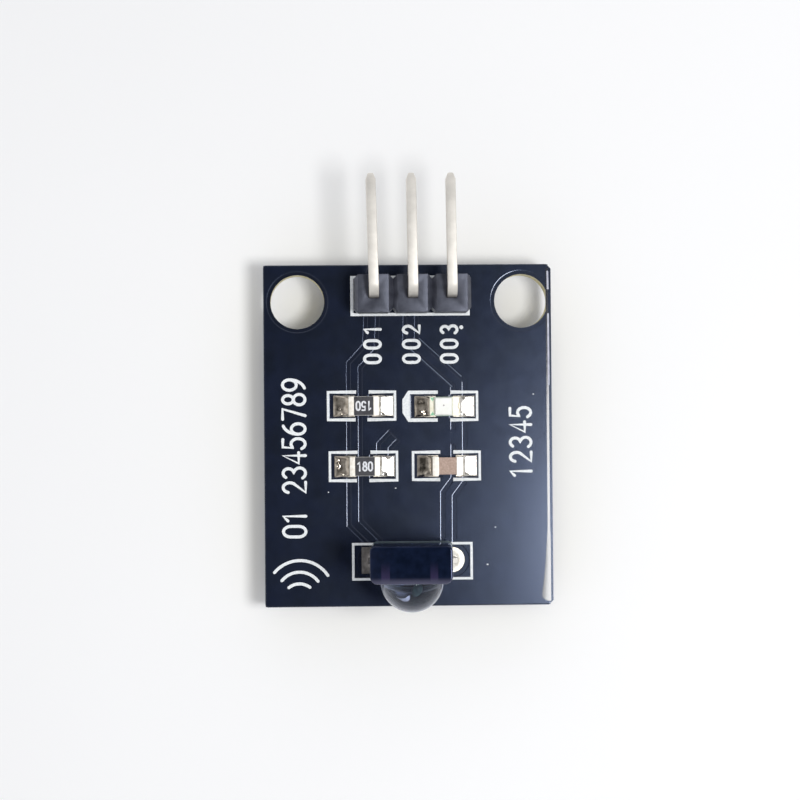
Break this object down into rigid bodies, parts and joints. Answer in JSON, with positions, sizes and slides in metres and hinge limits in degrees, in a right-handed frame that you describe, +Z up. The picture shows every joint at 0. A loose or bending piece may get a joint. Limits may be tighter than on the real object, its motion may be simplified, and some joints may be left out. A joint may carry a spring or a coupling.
{
  "type": "infrared receiver module",
  "caption": "Small rectangular circuit board with mounting holes, a pin header bent out over one edge and a domed infrared receiver standing at the opposite edge.",
  "frame": {"origin": "bottom centre of the overall box: on the plane that the soldered tails stand on, midway between the header's pin ends and the front of the receiver's dome", "axes": "+X along the header row, with the header bent away from the viewer and the board face up; +Y out of the header along its pins; +Z up out of the board's component face"},
  "size_m": [0.019, 0.0282, 0.0116],
  "materials": {
    "board": "navy black solder mask, satin",
    "copper": "tinned copper",
    "solder": "bright solder",
    "tin": "tin plate, warm silver",
    "nylon": "black nylon, matt",
    "epoxy": "near-black epoxy that passes infrared, smooth",
    "alumina": "white alumina",
    "overcoat": "black glass overcoat",
    "dielectric": "tan ceramic",
    "led_base": "pale green laminate",
    "lens": "translucent pale yellow-green resin"
  },
  "bodies": {
    "root": {"circuit_board": "board", "header_housing": "nylon", "header_pin_1": "tin", "header_pin_2": "tin", "header_pin_3": "tin", "header_hole_1": "copper", "header_hole_2": "copper", "header_hole_3": "copper", "header_solder_1": "solder", "header_solder_2": "solder", "header_solder_3": "solder", "receiver_body": "epoxy", "receiver_lead_1": "tin", "receiver_lead_2": "tin", "receiver_lead_3": "tin", "receiver_hole_1": "copper", "receiver_hole_2": "copper", "receiver_hole_3": "copper", "receiver_solder_1": "solder", "receiver_solder_2": "solder", "receiver_solder_3": "solder", "resistor_a_land_1": "copper", "resistor_a_land_2": "copper", "resistor_a_core": "alumina", "resistor_a_terminal_1": "tin", "resistor_a_terminal_2": "tin", "resistor_a_overcoat": "overcoat", "resistor_a_fillet_1": "solder", "resistor_a_fillet_2": "solder", "resistor_b_land_1": "copper", "resistor_b_land_2": "copper", "resistor_b_core": "alumina", "resistor_b_terminal_1": "tin", "resistor_b_terminal_2": "tin", "resistor_b_overcoat": "overcoat", "resistor_b_fillet_1": "solder", "resistor_b_fillet_2": "solder", "capacitor_land_1": "copper", "capacitor_land_2": "copper", "capacitor_core": "dielectric", "capacitor_terminal_1": "tin", "capacitor_terminal_2": "tin", "capacitor_fillet_1": "solder", "capacitor_fillet_2": "solder", "led_land_1": "copper", "led_land_2": "copper", "led_base": "led_base", "led_terminal_1": "tin", "led_terminal_2": "tin", "led_lens": "lens", "led_fillet_1": "solder", "led_fillet_2": "solder"}
  },
  "joints": []
}
